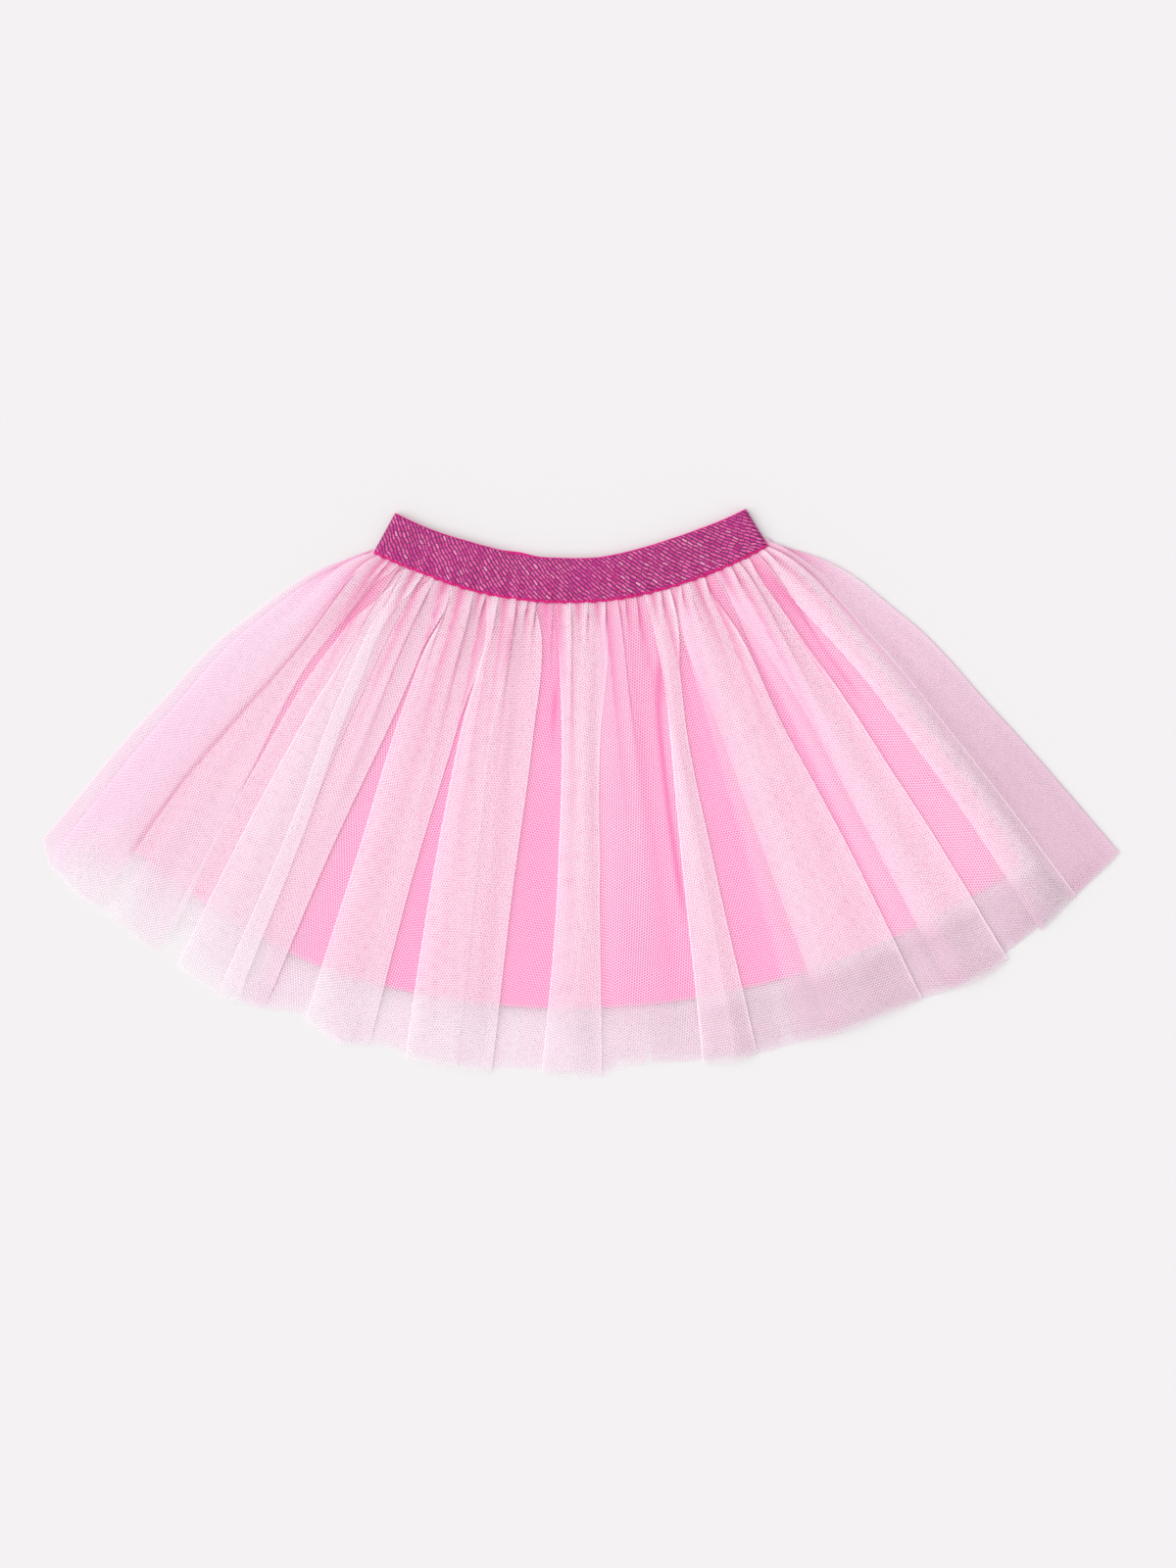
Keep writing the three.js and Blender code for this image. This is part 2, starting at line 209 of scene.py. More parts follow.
# Lines of the front net in the order in which the cloth runs, from the left edge to the right.
# A turn is the sharp edge of a fold, where the cloth doubles back, and a roll is a soft one: the
# first height is the cloth that comes to it, the second the cloth that leaves it. A pass is a
# rise or dip without an edge.
FRONT_LINES = (
    ("left_edge", "pass", NET_LEFT, 0.2, 0.2),
    ("left_rim", "pass", (-28.0, -32.0, -36.0, -37.4, -37.8), 0.5, 0.5),
    ("fold_0_inner", "roll", (-25.2, -26.9, -29.0, -28.9, -28.2), 0.3, 1.0),
    ("fold_0_left", "roll", (-28.2, -32.6, -36.7, -38.0, -38.3), 1.0, 1.8),
    ("left_ridge", "pass", (-27.4, -29.5, -33.6, -35.7, -36.3), 3.0, 3.0),
    ("left_dip", "pass", (-26.8, -28.8, -32.2, -34.2, -34.8), 2.4, 2.4),
    ("left_swell", "pass", (-26.0, -28.1, -31.2, -32.4, -32.6), 2.8, 2.8),
    ("left_groove", "pass", (-24.6, -26.5, -28.9, -29.4, -29.2), 0.6, 0.6),
    ("fold_1_first", "turn", (-20.9, -22.2, -22.9, -23.0, -22.7), 0.2, 0.7),
    ("fold_1_outer", "roll", (-23.8, -25.9, -28.2, -28.8, -28.8), 0.7, 1.1),
    ("fold_1_inner_left", "turn", (-20.2, -21.6, -22.4, -22.6, -22.4), 1.1, 1.6),
    ("fold_1_left", "turn", (-22.9, -25.3, -26.5, -27.0, -27.0), 1.6, 2.6),
    ("fold_1_crest", "pass", (-21.9, -24.2, -25.2, -25.0, -24.9), 3.4, 3.4),
    ("fold_1_under", "turn", (-20.4, -22.5, -23.1, -22.5, -22.3), 3.0, 3.4),
    ("fold_1_second", "turn", (-21.6, -23.9, -24.5, -23.8, -23.7), 3.3, 4.0),
    ("fold_1_slope", "pass", (-18.8, -19.8, -20.8, -21.8, -22.4), 3.0, 3.0),
    ("fold_1_right", "roll", (-16.3, -17.1, -18.2, -19.6, -20.4), 1.3, 0.9),
    ("fold_1_inner_right", "turn", (-20.1, -21.5, -22.3, -22.5, -22.3), 0.9, 0.4),
    ("hollow_2", "pass", (-16.1, -16.9, -17.5, -18.3, -18.9), 0.2, 0.2),
    ("fold_2_inner_left", "turn", (-12.5, -12.9, -13.5, -13.9, -14.3), 0.3, 1.3),
    ("fold_2_left", "turn", (-15.8, -17.0, -17.7, -17.6, -17.6), 1.3, 2.4),
    ("fold_2_crest", "pass", (-14.0, -14.8, -15.2, -15.6, -16.0), 3.8, 3.8),
    ("fold_2_right", "turn", (-10.0, -10.4, -11.4, -12.5, -13.0), 1.2, 0.8),
    ("fold_2_inner_right", "turn", (-12.5, -12.9, -13.5, -13.9, -14.3), 0.8, 0.3),
    ("hollow_3", "pass", (-9.9, -10.4, -11.1, -11.5, -11.6), 0.3, 0.3),
    ("fold_3_inner_left", "turn", (-7.0, -7.2, -7.8, -7.4, -7.0), 0.8, 2.2),
    ("fold_3_left", "turn", (-11.2, -10.8, -11.1, -11.0, -10.5), 2.2, 3.4),
    ("fold_3_crest", "pass", (-7.4, -7.6, -8.4, -8.2, -8.0), 4.8, 4.8),
    ("fold_3_right", "turn", (-3.4, -2.7, -3.2, -4.1, -4.7), 1.4, 0.8),
    ("fold_3_inner_right", "turn", (-7.0, -7.2, -7.8, -7.4, -7.0), 0.8, 0.3),
    ("hollow_4", "pass", (-2.5, -1.6, -1.6, -2.2, -2.9), 0.1, 0.1),
    ("fold_4_inner_left", "turn", (2.6, 2.6, 2.2, 1.7, 0.7), 0.3, 1.3),
    ("fold_4_left", "turn", (-0.9, -0.6, -0.2, -0.4, -1.4), 1.3, 2.4),
    ("fold_4_crest", "pass", (2.6, 2.8, 2.2, 1.6, 0.6), 3.8, 3.8),
    ("fold_4_right", "turn", (6.7, 6.0, 4.1, 3.2, 2.6), 1.0, 0.7),
    ("fold_4_inner_right", "turn", (2.6, 2.6, 2.2, 1.7, 0.7), 0.7, 0.3),
    ("swell_5", "pass", (9.0, 8.9, 7.6, 6.8, 5.8), 1.8, 1.8),
    ("hollow_5", "pass", (11.2, 11.2, 10.4, 9.3, 8.4), 0.1, 0.1),
    ("fold_5_inner_left", "turn", (13.4, 13.2, 12.2, 11.9, 11.4), 0.3, 1.2),
    ("fold_5_left", "turn", (12.2, 12.2, 11.4, 10.3, 9.3), 1.2, 2.4),
    ("fold_5_crest", "pass", (13.4, 13.2, 12.3, 11.9, 11.5), 3.2, 3.2),
    ("fold_5_right", "turn", (15.0, 14.8, 13.4, 13.0, 13.0), 1.3, 0.8),
    ("fold_5_inner_right", "turn", (13.4, 13.2, 12.2, 11.9, 11.4), 1.2, 0.3),
    ("hollow_6", "pass", (15.2, 14.8, 14.0, 14.2, 14.4), 0.3, 0.3),
    ("fold_6_rise", "pass", (16.6, 16.4, 16.4, 16.8, 17.4), 2.2, 2.2),
    ("fold_6_crest", "pass", (18.4, 18.4, 19.2, 19.8, 20.4), 3.6, 3.6),
    ("fold_6_right", "turn", (20.6, 21.5, 22.7, 23.9, 24.5), 1.4, 0.9),
    ("fold_6_inner", "roll", (16.4, 15.8, 16.6, 17.3, 18.0), 0.9, 0.3),
    ("hollow_7", "pass", (21.2, 22.2, 23.9, 24.5, 25.2), 0.2, 0.2),
    ("fold_7_rise", "pass", (22.6, 23.6, 25.0, 25.7, 26.3), 1.8, 1.8),
    ("fold_7_crest", "pass", (24.6, 25.8, 27.0, 27.4, 27.8), 3.4, 3.4),
    ("fold_7_right", "turn", (27.0, 28.2, 29.4, 30.4, 30.7), 1.4, 0.9),
    ("fold_7_inner", "roll", (22.0, 23.2, 25.4, 26.0, 26.4), 0.9, 0.3),
    ("hollow_8", "pass", (28.0, 29.4, 30.9, 31.5, 31.6), 0.2, 0.2),
    ("fold_8_crest", "pass", (29.6, 32.4, 34.6, 35.2, 35.5), 3.2, 3.2),
    ("fold_8_right", "turn", (30.4, 33.8, 35.9, 36.6, 36.8), 1.0, 0.7),
    ("fold_8_inner", "roll", (28.4, 29.8, 32.2, 33.3, 33.5), 1.1, 0.5),
    ("right_hollow", "pass", (29.8, 33.8, 36.6, 37.2, 37.4), 0.6, 0.6),
    ("fold_9_right", "roll", NET_RIGHT, 0.9, 0.6),
    ("fold_9_inner", "turn", (29.4, 33.0, 35.6, 36.2, 36.2), 0.6, 0.3),
    ("right_edge", "pass", (30.8, 35.6, 38.9, 39.6, 39.6), 0.2, 0.2),
)

# The back net lies under the lining with its folds pressed flat
BACK_LINES = (
    ("left_edge", "pass", (-28.1, -32.9, -36.9, -38.2, -38.5), 0.15, 0.15),
    ("fold_1_inner", "turn", (-25.0, -28.6, -31.4, -32.0, -32.2), 0.15, 0.4),
    ("fold_1_left", "turn", (-27.8, -32.2, -36.0, -37.4, -37.9), 0.4, 0.75),
    ("fold_1_right", "turn", (-23.0, -25.6, -28.0, -28.6, -28.6), 0.7, 0.4),
    ("fold_1_way_out", "turn", (-24.8, -28.2, -31.0, -31.6, -31.9), 0.4, 0.15),
    ("fold_2_inner", "turn", (-19.0, -20.6, -21.8, -22.4, -22.8), 0.15, 0.4),
    ("fold_2_left", "turn", (-21.4, -23.6, -25.6, -26.6, -27.0), 0.4, 0.75),
    ("fold_2_right", "turn", (-16.2, -17.2, -18.0, -18.2, -18.0), 0.7, 0.4),
    ("fold_2_way_out", "turn", (-18.8, -20.2, -21.4, -22.0, -22.5), 0.4, 0.15),
    ("fold_3_inner", "turn", (-11.0, -11.6, -12.0, -12.4, -12.8), 0.15, 0.4),
    ("fold_3_left", "turn", (-14.2, -15.0, -15.8, -16.2, -16.2), 0.4, 0.75),
    ("fold_3_right", "turn", (-8.4, -8.8, -9.0, -8.8, -8.4), 0.7, 0.4),
    ("fold_3_way_out", "turn", (-10.8, -11.3, -11.7, -12.1, -12.5), 0.4, 0.15),
    ("fold_4_inner", "turn", (-3.4, -3.2, -3.0, -3.2, -3.6), 0.15, 0.4),
    ("fold_4_left", "turn", (-6.6, -6.8, -7.0, -7.2, -7.4), 0.4, 0.75),
    ("fold_4_right", "turn", (-0.6, -0.2, 0.2, 0.4, 0.6), 0.7, 0.4),
    ("fold_4_way_out", "turn", (-3.2, -2.9, -2.7, -2.9, -3.3), 0.4, 0.15),
    ("fold_5_inner", "turn", (4.8, 5.0, 5.4, 5.6, 5.6), 0.15, 0.4),
    ("fold_5_left", "turn", (1.8, 2.0, 2.2, 2.2, 2.0), 0.4, 0.75),
    ("fold_5_right", "turn", (7.6, 8.2, 8.8, 9.2, 9.4), 0.7, 0.4),
    ("fold_5_way_out", "turn", (5.1, 5.4, 5.7, 5.9, 5.9), 0.4, 0.15),
    ("fold_6_inner", "turn", (12.8, 13.6, 14.4, 14.8, 15.0), 0.15, 0.4),
    ("fold_6_left", "turn", (9.6, 10.2, 10.8, 11.2, 11.6), 0.4, 0.75),
    ("fold_6_right", "turn", (16.0, 17.2, 18.2, 18.8, 19.2), 0.7, 0.4),
    ("fold_6_way_out", "turn", (13.1, 14.0, 14.8, 15.2, 15.4), 0.4, 0.15),
    ("fold_7_inner", "turn", (20.6, 22.2, 23.6, 24.4, 24.8), 0.15, 0.4),
    ("fold_7_left", "turn", (17.8, 19.2, 20.4, 21.0, 21.2), 0.4, 0.75),
    ("fold_7_right", "turn", (23.6, 25.8, 27.8, 28.8, 29.4), 0.7, 0.4),
    ("fold_7_way_out", "turn", (20.9, 22.6, 24.0, 24.8, 25.2), 0.4, 0.15),
    ("fold_8_inner", "turn", (27.2, 30.2, 32.8, 33.8, 34.2), 0.15, 0.4),
    ("fold_8_left", "turn", (25.2, 27.6, 29.8, 30.8, 31.4), 0.4, 0.75),
    ("fold_8_right", "turn", (30.0, 34.4, 37.8, 38.8, 39.0), 0.7, 0.4),
    ("fold_8_way_out", "turn", (27.6, 30.8, 33.5, 34.5, 34.9), 0.4, 0.15),
    ("right_edge", "pass", (30.4, 35.2, 39.0, 40.1, 40.3), 0.15, 0.15),
)

# The gathers: the grooves between small ridges of net under the waistband. Each has its angle
# at the seam, the angle it runs to, its reach below the seam and, for the ridge that follows
# it, the height and the way the ridge leans: -1 to the left, 1 to the right.
GATHERS = (
    (-28.9, -35.0, 24, 1.2, -1), (-27.9, -31.5, 40, 2.2, -1), (-26.9, -28.2, 12, 1.8, 1),
    (-26.2, -27.3, 64, 3.0, 1), (-24.6, -25.6, 14, 2.2, 1), (-23.3, -24.4, 30, 2.4, -1),
    (-22.2, -22.6, 12, 2.0, 1), (-20.9, -21.7, 72, 2.9, 1), (-19.2, -20.0, 12, 2.4, -1),
    (-17.4, -17.7, 58, 2.6, 1), (-16.2, -16.4, 12, 2.6, -1), (-14.9, -15.2, 66, 3.2, 1),
    (-13.2, -12.9, 11, 2.6, -1), (-12.2, -12.0, 16, 2.2, 1), (-11.2, -11.5, 70, 2.8, 1),
    (-9.5, -9.4, 12, 2.2, -1), (-8.5, -8.4, 60, 3.3, 1), (-6.9, -6.6, 12, 2.8, 1),
    (-5.2, -4.9, 18, 3.0, 1), (-3.9, -3.8, 11, 2.2, -1), (-2.4, -2.2, 34, 2.2, 1),
    (-1.5, -1.3, 14, 1.6, -1), (-0.7, -0.6, 64, 2.8, 1), (1.0, 1.3, 12, 2.2, -1),
    (2.2, 2.3, 16, 2.6, 1), (3.6, 3.4, 12, 2.8, -1), (5.0, 5.0, 18, 2.2, 1),
    (6.2, 5.9, 80, 2.8, 1), (7.8, 8.0, 14, 2.4, 1), (9.0, 9.2, 22, 2.4, 1),
    (10.6, 10.6, 56, 2.6, 1), (12.0, 12.3, 12, 2.6, -1), (13.1, 13.1, 14, 2.6, 1),
    (14.3, 14.1, 64, 3.0, 1), (15.6, 15.7, 12, 2.6, 1), (17.2, 17.4, 14, 2.8, 1),
    (18.4, 18.9, 40, 2.6, -1), (19.6, 20.2, 12, 2.8, 1), (20.9, 21.3, 66, 3.0, 1),
    (22.6, 23.3, 13, 2.8, -1), (23.6, 24.4, 16, 2.6, 1), (25.0, 25.9, 60, 2.8, 1),
    (26.3, 27.6, 12, 2.2, 1), (27.8, 29.0, 70, 3.1, 1), (29.1, 30.9, 14, 2.6, 1),
    (30.2, 33.4, 40, 2.2, 1), (31.0, 35.8, 20, 1.4, 1), (32.0, 37.0, 16, 1.0, 1),
)

# Faint creases of the front net: angles at the waist and the hem, where each begins and ends
# below the seam, its rise (below 0 a trough) and its half width
CREASES = (
    (-26.0, -37.2, 30, 240, 0.5, 4.0), (-25.0, -33.6, 50, 230, -0.4, 5.0),
    (-21.2, -25.6, 30, 272, 0.5, 2.6), (-20.2, -22.8, 60, 250, -0.5, 3.4),
    (-19.0, -21.2, 20, 150, 0.5, 3.0), (-14.6, -16.6, 20, 272, 0.5, 2.2),
    (-13.0, -14.6, 40, 200, -0.6, 3.2), (-11.6, -13.4, 90, 260, 0.4, 2.6),
    (-9.4, -9.6, 10, 272, 0.6, 2.0), (-8.0, -8.6, 30, 180, -0.6, 3.0),
    (-5.8, -6.2, 60, 272, 0.5, 2.4), (-4.8, -5.4, 20, 130, -0.5, 2.4),
    (0.4, 0.2, 20, 272, 0.5, 2.2), (1.8, 1.2, 50, 210, -0.5, 2.6), (4.6, 2.2, 30, 250, 0.4, 2.2),
    (7.6, 4.4, 60, 250, 0.5, 4.0), (10.0, 7.0, 90, 272, -0.4, 5.0), (12.8, 11.6, 60, 260, 0.3, 2.0),
    (16.8, 16.2, 20, 110, 0.6, 2.6), (17.6, 18.4, 70, 250, -0.6, 4.0),
    (19.4, 21.6, 30, 272, 0.5, 3.4), (21.4, 25.2, 90, 260, 0.4, 3.0),
    (24.0, 26.6, 30, 200, -0.5, 3.2), (26.0, 28.4, 20, 272, 0.4, 2.6),
    (28.6, 33.0, 60, 250, 0.5, 3.6), (30.0, 36.0, 40, 250, 0.4, 2.2),
    (30.8, 38.8, 60, 240, -0.5, 4.0),
)

# Creases so deep that their shade is painted into the net as a deeper pink: angles at the waist
# and the hem, where each begins and ends below the seam, and its strength
DEEP_CREASES = (
    (13.6, 9.6, 40, 190, 0.9), (0.2, -1.5, 50, 85, 0.8), (27.4, 31.8, 8, 110, 0.6),
    (-11.4, -10.4, 4, 40, 0.6), (-7.6, -7.7, 10, 50, 0.5), (-26.4, -28.6, 6, 60, 0.6),
)

# Where the net lies in ripples too fine to see one by one, so that its threads crowd and its pink
# deepens, partly as painted shade: left and right side as angles at the waist and the hem, how
# softly each begins, and how much they crowd at the waist and at the hem
FINE_RIPPLES = (
    (-31.0, -41.0, -25.6, -33.2, 0.6, 1.2, 0.8, 1.3), (-33.0, -33.0, -25.6, -28.4, 1.4, 0.8, 0.0, 0.8),
    (-20.4, -22.0, -16.6, -18.6, 1.0, 1.8, 0.5, 0.5), (-18.4, -20.0, -16.4, -17.4, 1.0, 0.4, 0.3, 0.3),
    (5.2, 2.8, 9.8, 8.2, 1.0, 1.6, 1.5, 0.0), (9.0, 8.0, 11.6, 12.2, 0.8, 0.8, 0.6, 0.0),
    (14.6, 15.6, 18.6, 20.4, 1.0, 3.0, 1.3, 0.8), (21.6, 24.2, 24.8, 28.6, 0.8, 1.6, 1.5, 0.7),
    (28.6, 30.4, 30.6, 34.4, 0.6, 1.0, 0.4, 0.6), (30.6, 36.2, 33.4, 43.0, 0.8, 1.0, 0.9, 1.9),
)

# How much shorter than the outline each stretch of net between two turns ends: first those at
# the left side, then a few that repeat
LEFT_SHORTER = (0.5, 21.0, 0.5, 17.0, 19.0, 9.0, 0.0, 7.0, 1.0, 6.0, 1.0)
SHORTER = (3.5, 0.5, 5.0, 1.5, 4.0, 0.0, 2.5, 5.5, 1.0, 3.0, 0.5, 4.5)

# By how much each stretch's mesh is turned, so that meshes on each other don't line up
MESH_TURN = 22.9

# How far the net reaches up under the waistband
TUCKED_UNDER = 5.0

ROUND_OFF = {"turn": 0.7, "roll": 3.5}
TURN_STEPS = 4


def across(degrees, radius):
    """An angle's length along the fan, in millimetres."""
    return degrees * radius * math.pi / 180


def table(rows, degrees):
    angles, radii = zip(*rows)
    return np.interp(degrees, angles, radii)


def sheet_mesh(name, places, finish):
    """A sheet of cloth whose grid corners lie at places[row, column]."""
    rows, columns = places.shape[:2]
    shape = bmesh.new()
    bmesh.ops.create_grid(shape, x_segments=columns - 1, y_segments=rows - 1, size=0.5)
    mesh = bpy.data.meshes.new(name)
    shape.to_mesh(mesh)
    shape.free()
    mesh.vertices.foreach_set("co", places.reshape(-1))
    mesh.polygons.foreach_set("use_smooth", np.ones(len(mesh.polygons), bool))
    mesh.update()
    mesh.materials.append(finish)
    piece = bpy.data.objects.new(name, mesh)
    bpy.context.scene.collection.objects.link(piece)
    return piece


def corner_cells(mesh, columns):
    """For every face corner its grid row and column, and the left column of its face."""
    vertex = np.empty(len(mesh.loops), int)
    mesh.loops.foreach_get("vertex_index", vertex)
    row, column = np.divmod(vertex, columns)
    left = np.repeat(column.reshape(-1, 4).min(axis=1), 4)
    return row, column, left


def add_measure(mesh, name, values):
    attribute = mesh.attributes.new(name, "FLOAT", "POINT")
    attribute.data.foreach_set("value", np.ascontiguousarray(values, float).reshape(-1))


def add_uv(mesh, u, v):
    layer = mesh.uv_layers.new(name="cloth")
    layer.data.foreach_set("uv", np.stack([u, v], axis=-1).reshape(-1))


def thicken(piece, thickness):
    """Gives a sheet its thickness, half to each side."""
    solidify = piece.modifiers.new("cloth thickness", "SOLIDIFY")
    solidify.thickness = thickness
    solidify.offset = 0.0


def fold_path(lines, down, spacing):
    """The net's angles and heights row by row along its fold lines, with the number of the
    stretch that each column lies in and how far it is from the nearest fold edge."""
    radius = BAND_SEAM + down
    degrees, heights, stretches, edges = [], [], [], []
    stretch = 0
    for number, (first, second) in enumerate(zip(lines[:-1], lines[1:])):
        _, first_kind, first_angles, first_in, first_out = first
        _, second_kind, second_angles, second_in, second_out = second
        start = curve_through(STATIONS, first_angles, down)
        turn_to = curve_through(STATIONS, second_angles, down)
        wide = np.maximum(across(np.abs(turn_to - start), radius), 0.05)
        round_first = np.minimum(ROUND_OFF.get(first_kind, 0.0), wide / 3)
        round_second = np.minimum(ROUND_OFF.get(second_kind, 0.0), wide / 3)
        steps = int(max(4, wide[0] / spacing, wide[-1] / (2.6 * spacing)))
        opens = first_kind != "pass"
        closes = second_kind != "pass"
        if opens and number > 0:
            stretch += 1
        near = 1 - np.cos(np.arange(TURN_STEPS) / TURN_STEPS * math.pi / 2)
        low = round_first
        high = wide - round_second
        x = low[:, None] + (high - low)[:, None] * np.linspace(0, 1, steps + 1)[None, :]
        if not closes and number < len(lines) - 2:
            x = x[:, :-1]
        if opens:
            x = np.concatenate([round_first[:, None] * near, x], axis=1)
        if closes:
            x = np.concatenate([x, wide[:, None] - round_second[:, None] * near[:0:-1]], axis=1)
        share = x / wide[:, None]
        z = first_out + (second_in - first_out) * smooth(share)
        edge = np.full_like(x, 50.0)
        if opens:
            off = 1 - np.clip(x / round_first[:, None], 0, 1)
            middle = (first_in + first_out) / 2
            z = middle + (z - middle) * np.sqrt(1 - off * off)
            if first_kind == "turn":
                edge = np.minimum(edge, x)
        if closes:
            off = 1 - np.clip((wide[:, None] - x) / round_second[:, None], 0, 1)
            middle = (second_in + second_out) / 2
            z = middle + (z - middle) * np.sqrt(1 - off * off)
            if second_kind == "turn":
                edge = np.minimum(edge, wide[:, None] - x)
        degrees.append(start[:, None] + (turn_to - start)[:, None] * share)
        heights.append(z)
        edges.append(edge)
        stretches += [stretch] * x.shape[1]
    path = [np.concatenate(part, axis=1) for part in (degrees, heights, edges)]
    return path[0], path[1], np.array(stretches), path[2]


def gathered(degrees, radius, below, height):
    """How far the gathers move the net, along the fan in degrees and up in millimetres, and how
    deep in a groove each place is, from 0 to 1."""
    gathers = np.array(GATHERS, float)
    at_seam, at_end, reach, rise, lean = gathers.T
    count = np.arange(len(gathers))
    shift = np.zeros_like(degrees)
    lift = np.zeros_like(degrees)
    groove = np.zeros_like(degrees)
    for row in range(degrees.shape[0]):
        here = max(below[row].mean(), 0.0)
        if here > 130:
            break
        lines = at_seam + (at_end - at_seam) * (1 - math.exp(-here / 24.0))
        place = np.interp(degrees[row], lines, count)
        ridge = np.clip(place.astype(int), 0, len(gathers) - 2)
        wave = (1 - np.cos(2 * math.pi * (place - ridge))) / 2
        reached = np.exp(-((here / reach) ** 1.5))[ridge]
        strength = reached * wave
        groove[row] = reached * (1 - wave) ** 2
        pitch = across(np.diff(lines), BAND_SEAM + here)[ridge]
        puff = 0.15 + 0.85 * smooth(here, 0.5, 10.0)
        puff = puff * (0.5 + 0.4 * math.exp(-((here / 15.0) ** 2)))
        lift[row] = rise[ridge] * strength * height * puff
        shift[row] = 0.58 * pitch * lean[ridge] * strength
    return shift / radius * 180 / math.pi, lift, groove


def creased(degrees, radius, below):
    """The rise of the faint creases."""
    rise = np.zeros_like(degrees)
    for at_waist, at_hem, begins, ends, high, half in CREASES:
        share = np.clip(below / SKIRT_LENGTH, 0, 1)
        line = at_hem + (at_waist - at_hem) * np.exp(-share * 5.0)
        off = across(degrees - line, radius) / (half * (1 + 1.2 * share))
        length = smooth(below, begins - 15, begins + 20) * (1 - smooth(below, ends - 40, ends + 5))
        rise += high * length * np.exp(-off * off)
    return rise


def deep(degrees, radius, below):
    """How deep in one of the deep creases each place is, from 0 to 1."""
    share = np.clip(below / SKIRT_LENGTH, 0, 1)
    depth = np.zeros_like(degrees)
    for at_waist, at_hem, begins, ends, strength in DEEP_CREASES:
        line = at_hem + (at_waist - at_hem) * np.exp(-share * 5.0)
        off = across(degrees - line, radius) / 1.7
        length = smooth(below, begins - 8, begins + 8) * (1 - smooth(below, ends - 25, ends + 5))
        depth = np.maximum(depth, strength * length * np.exp(-off * off))
    return depth


def crowded(degrees, below):
    """How much finer ripples crowd the threads."""
    share = np.clip(below / SKIRT_LENGTH, 0, 1)
    swing = np.exp(-share * 5.0)
    total = np.zeros_like(degrees)
    for row in FINE_RIPPLES:
        left_waist, left_hem, right_waist, right_hem, left_soft, right_soft, waist, hem = row
        left = left_hem + (left_waist - left_hem) * swing
        right = right_hem + (right_waist - right_hem) * swing
        inside = smooth((degrees - left) / left_soft) * smooth((right - degrees) / right_soft)
        total += inside * (waist + (hem - waist) * share)
    return total


def past_lining(degrees, radius):
    """How far a place lies outside the lining's outline, in millimetres: below 0 inside."""
    down = np.clip(radius - BAND_SEAM, 0, SKIRT_LENGTH)
    left = curve_through(STATIONS, LINING_LEFT, down) - 1.2
    right = curve_through(STATIONS, LINING_RIGHT, down)
    sides = np.maximum(across(left - degrees, radius), across(degrees - right, radius))
    return np.maximum(sides, radius - table(LINING_HEM, degrees))


def net_rows(count):
    """Distances below the seam of the net's rows, close together under the waistband."""
    return SKIRT_LENGTH * np.linspace(0, 1, count) ** 1.6


